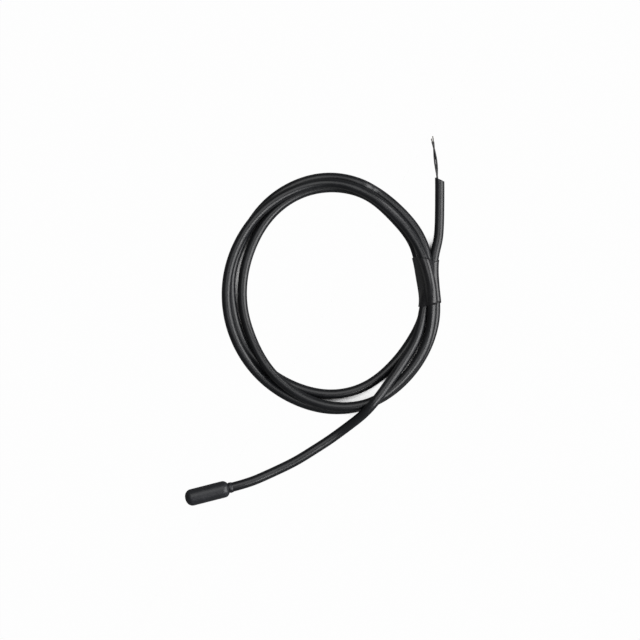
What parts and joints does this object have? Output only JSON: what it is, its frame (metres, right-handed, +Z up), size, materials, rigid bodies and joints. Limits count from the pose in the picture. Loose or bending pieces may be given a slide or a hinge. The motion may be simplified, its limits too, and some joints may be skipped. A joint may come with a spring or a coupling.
{
  "type": "cable temperature sensor",
  "caption": "Cable temperature sensor with a rounded moulded probe head, its lead coiled and bound with tape, and bare wire ends.",
  "frame": {"origin": "on the surface that the sensor lies on, under the middle of the moulded probe head", "axes": "+X along the probe's axis from its tip towards the cable, +Y towards the coil, +Z up from the surface"},
  "size_m": [0.1188, 0.1078, 0.0102],
  "materials": {
    "moulding": "satin moulded elastomer",
    "epoxy": "glossy epoxy drop",
    "tinned_wire": "dull tinned copper",
    "solder": "smooth solder",
    "sleeve_film": "glossy film sleeve",
    "core_insulation": "satin extruded plastic",
    "cable_jacket": "satin extruded plastic",
    "tape": "satin vinyl tape"
  },
  "bodies": {
    "root": {"probe_body": "moulding", "thermistor_bead": "epoxy", "thermistor_wire_a": "tinned_wire", "thermistor_wire_b": "tinned_wire", "splice_a": "solder", "splice_b": "solder", "splice_sleeve_a": "sleeve_film", "splice_sleeve_b": "sleeve_film", "head_core_a": "core_insulation", "head_core_b": "core_insulation", "cable_lead": "cable_jacket", "cable_coil": "cable_jacket", "cable_tail": "cable_jacket", "tape_wrap": "tape", "tail_core_a": "core_insulation", "tail_core_b": "core_insulation", "conductor_a": "tinned_wire", "conductor_b": "tinned_wire"}
  },
  "joints": []
}
